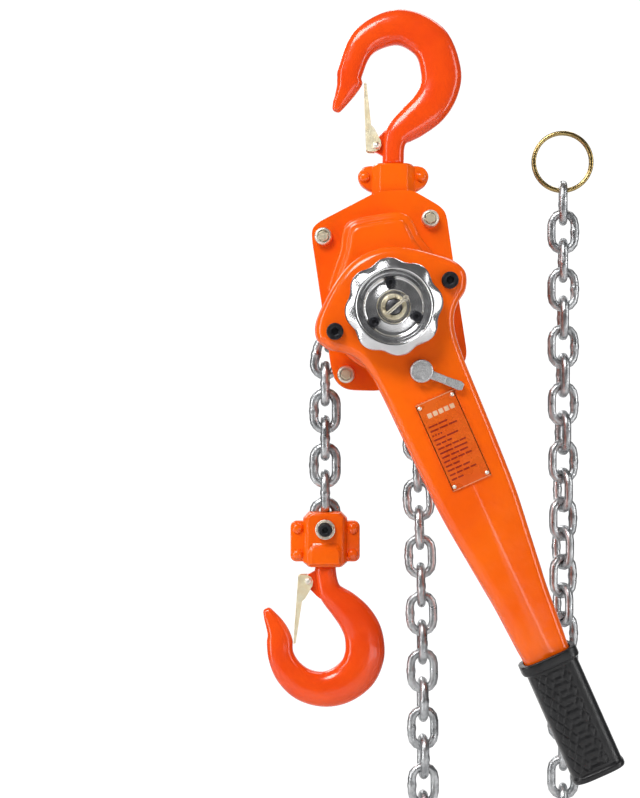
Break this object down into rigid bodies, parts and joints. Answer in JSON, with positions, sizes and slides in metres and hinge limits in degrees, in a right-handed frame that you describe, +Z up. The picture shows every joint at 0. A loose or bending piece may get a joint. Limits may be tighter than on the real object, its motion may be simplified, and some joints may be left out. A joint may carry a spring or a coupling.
{
  "type": "lever chain hoist",
  "caption": "Hand lever chain hoist with forged top and bottom hooks, calibrated load chain, geared ratchet body, handwheel, selector and rubber-gripped lever.",
  "frame": {"origin": "middle of the saddle inside the top hook, where the hoist hangs", "axes": "+Z up along the hang line of the top hook, +X to the right seen from the handwheel side, -Y out of the handwheel"},
  "size_m": [0.2969, 0.14, 0.8599],
  "materials": {
    "orange_paint": "glossy orange stove enamel",
    "hook_paint": "glossy red-orange paint over a forging",
    "zinc_steel": "bright zinc",
    "yellow_zinc": "yellow zinc",
    "dark_steel": "oiled dark steel",
    "cast_alloy": "cast, brushed on its rims",
    "black_oxide": "black oxide",
    "rubber": "moulded, knurled",
    "lining": "friction lining",
    "name_foil": null
  },
  "bodies": {
    "top_hook": {"top_hook": "hook_paint"},
    "top_latch": {"top_hook_latch": "yellow_zinc"},
    "top_yoke": {"top_yoke_front": "orange_paint", "top_yoke_rear": "orange_paint"},
    "housing": {"side_plate_front": "orange_paint", "side_plate_rear": "orange_paint", "stay_bolt_1": "yellow_zinc", "stay_bolt_2": "yellow_zinc", "stay_bolt_3": "yellow_zinc", "stay_bolt_4": "yellow_zinc", "top_pin": "dark_steel", "brake_cover": "orange_paint", "gear_cover": "orange_paint", "chain_guide": "dark_steel"},
    "sheave": {"load_sheave": "dark_steel", "load_gear": "zinc_steel", "sheave_link_1": "zinc_steel", "sheave_link_2": "zinc_steel", "sheave_link_3": "zinc_steel", "sheave_link_4": "zinc_steel", "sheave_link_5": "zinc_steel"},
    "drive": {"drive_shaft": "zinc_steel", "friction_hub": "zinc_steel", "friction_disc_1": "lining", "friction_disc_2": "lining", "ratchet_disc": "zinc_steel", "change_gear": "zinc_steel", "handwheel": "cast_alloy", "handwheel_screw_1": "black_oxide", "handwheel_screw_2": "black_oxide", "handwheel_screw_3": "black_oxide", "castle_nut": "yellow_zinc", "cotter_pin": "zinc_steel"},
    "gear_1": {"intermediate_gear_1": "zinc_steel"},
    "gear_2": {"intermediate_gear_2": "zinc_steel"},
    "pawl_1": {"brake_pawl_1": "zinc_steel"},
    "pawl_2": {"brake_pawl_2": "zinc_steel"},
    "lever": {"lever_front_shell": "orange_paint", "lever_rear_shell": "orange_paint", "lever_bolt_1": "black_oxide", "lever_bolt_2": "black_oxide", "name_plate": "name_foil", "grip": "rubber"},
    "selector": {"selector_knob": "cast_alloy"},
    "selector_pawl": {"selector_pawl": "zinc_steel"},
    "load_strand": {"load_link_1": "zinc_steel", "load_link_2": "zinc_steel"},
    "link_3": {"load_link_3": "zinc_steel"},
    "link_4": {"load_link_4": "zinc_steel"},
    "link_5": {"load_link_5": "zinc_steel"},
    "link_6": {"load_link_6": "zinc_steel"},
    "link_7": {"load_link_7": "zinc_steel"},
    "link_8": {"load_link_8": "zinc_steel"},
    "block": {"bottom_yoke_front": "orange_paint", "bottom_yoke_rear": "orange_paint", "chain_anchor_bolt": "dark_steel"},
    "bottom_hook": {"bottom_hook": "hook_paint"},
    "bottom_latch": {"bottom_hook_latch": "yellow_zinc"},
    "slack": {"slack_chain": "zinc_steel", "end_ring": "yellow_zinc"}
  },
  "joints": [
    {"name": "top_swivel", "type": "hinge", "parent": "top_hook", "child": "top_yoke", "pos_m": [0, 0, -0.112], "axis": [0, 0, 1], "continuous": true},
    {"name": "top_latch_turn", "type": "hinge", "parent": "top_hook", "child": "top_latch", "pos_m": [-0.0145, 0, -0.0875], "axis": [0, 1, 0], "range_deg": [0, 35], "stiffness_Nm_per_rad": 0.03, "springref_deg": -28.65},
    {"name": "housing_swing", "type": "hinge", "parent": "top_yoke", "child": "housing", "pos_m": [0, 0, -0.1386], "axis": [0, 1, 0], "range_deg": [-25, 25]},
    {"name": "sheave_turn", "type": "hinge", "parent": "housing", "child": "sheave", "pos_m": [-0.00306, 0, -0.23033], "axis": [0, 1, 0], "range_deg": [-6, 6]},
    {"name": "drive_turn", "type": "hinge", "parent": "housing", "child": "drive", "pos_m": [-0.00306, 0, -0.23033], "axis": [0, 1, 0], "range_deg": [-55, 55]},
    {"name": "gear_1_turn", "type": "hinge", "parent": "housing", "child": "gear_1", "pos_m": [0.02397, 0, -0.22586], "axis": [0, 1, 0], "range_deg": [-19, 19]},
    {"name": "gear_2_turn", "type": "hinge", "parent": "housing", "child": "gear_2", "pos_m": [-0.03009, 0, -0.23481], "axis": [0, 1, 0], "range_deg": [-19, 19]},
    {"name": "pawl_1_turn", "type": "hinge", "parent": "housing", "child": "pawl_1", "pos_m": [0.01189, 0, -0.19055], "axis": [0, 1, 0], "range_deg": [0, 15], "stiffness_Nm_per_rad": 0.02, "springref_deg": -28.65},
    {"name": "pawl_2_turn", "type": "hinge", "parent": "housing", "child": "pawl_2", "pos_m": [-0.01801, 0, -0.27011], "axis": [0, 1, 0], "range_deg": [0, 15], "stiffness_Nm_per_rad": 0.02, "springref_deg": -28.65},
    {"name": "lever_swing", "type": "hinge", "parent": "housing", "child": "lever", "pos_m": [-0.00306, 0, -0.23033], "axis": [0, 1, 0], "continuous": true},
    {"name": "selector_turn", "type": "hinge", "parent": "lever", "child": "selector", "pos_m": [0.02013, 0, -0.2824], "axis": [0, 1, 0], "range_deg": [0, 90]},
    {"name": "selector_pawl_turn", "type": "hinge", "parent": "lever", "child": "selector_pawl", "pos_m": [0.02013, 0, -0.2824], "axis": [0, 1, 0], "range_deg": [-1, 19]},
    {"name": "strand_travel", "type": "slide", "parent": "housing", "child": "load_strand", "axis": [0, 0, 1], "range_m": [-0.0045, 0.0045]},
    {"name": "slack_travel", "type": "slide", "parent": "housing", "child": "slack", "axis": [0, 0, 1], "range_m": [-0.0045, 0.0045]},
    {"name": "link_3_turn", "type": "hinge", "parent": "load_strand", "child": "link_3", "pos_m": [-0.06029, 0, -0.28441], "axis": [1, 0, 0], "range_deg": [-4, 4]},
    {"name": "link_4_turn", "type": "hinge", "parent": "link_3", "child": "link_4", "pos_m": [-0.0585, 0, -0.308], "axis": [0, 1, 0], "range_deg": [-4, 4]},
    {"name": "link_5_turn", "type": "hinge", "parent": "link_4", "child": "link_5", "pos_m": [-0.0585, 0, -0.3314], "axis": [1, 0, 0], "range_deg": [-4, 4]},
    {"name": "link_6_turn", "type": "hinge", "parent": "link_5", "child": "link_6", "pos_m": [-0.0585, 0, -0.3548], "axis": [0, 1, 0], "range_deg": [-4, 4]},
    {"name": "link_7_turn", "type": "hinge", "parent": "link_6", "child": "link_7", "pos_m": [-0.0585, 0, -0.3782], "axis": [1, 0, 0], "range_deg": [-4, 4]},
    {"name": "link_8_turn", "type": "hinge", "parent": "link_7", "child": "link_8", "pos_m": [-0.0585, 0, -0.4016], "axis": [0, 1, 0], "range_deg": [-4, 4]},
    {"name": "block_turn", "type": "hinge", "parent": "link_8", "child": "block", "pos_m": [-0.0585, 0, -0.4166], "axis": [0, 1, 0], "range_deg": [-4, 4]},
    {"name": "bottom_swivel", "type": "hinge", "parent": "block", "child": "bottom_hook", "pos_m": [-0.0585, 0, -0.44], "axis": [0, 0, 1], "continuous": true},
    {"name": "bottom_latch_turn", "type": "hinge", "parent": "bottom_hook", "child": "bottom_latch", "pos_m": [-0.073, 0, -0.4615], "axis": [0, 1, 0], "range_deg": [-35, 0], "stiffness_Nm_per_rad": 0.03, "springref_deg": 28.65}
  ],
  "couplings": [
    {"joint": "drive_turn", "follows": "sheave_turn", "ratio": 9},
    {"joint": "gear_1_turn", "follows": "sheave_turn", "ratio": -3},
    {"joint": "gear_2_turn", "follows": "sheave_turn", "ratio": -3},
    {"joint": "strand_travel", "follows": "sheave_turn", "m_per_rad": 0.0382},
    {"joint": "slack_travel", "follows": "sheave_turn", "m_per_rad": -0.0382},
    {"joint": "selector_pawl_turn", "follows": "selector_turn", "ratio": 0.2}
  ]
}
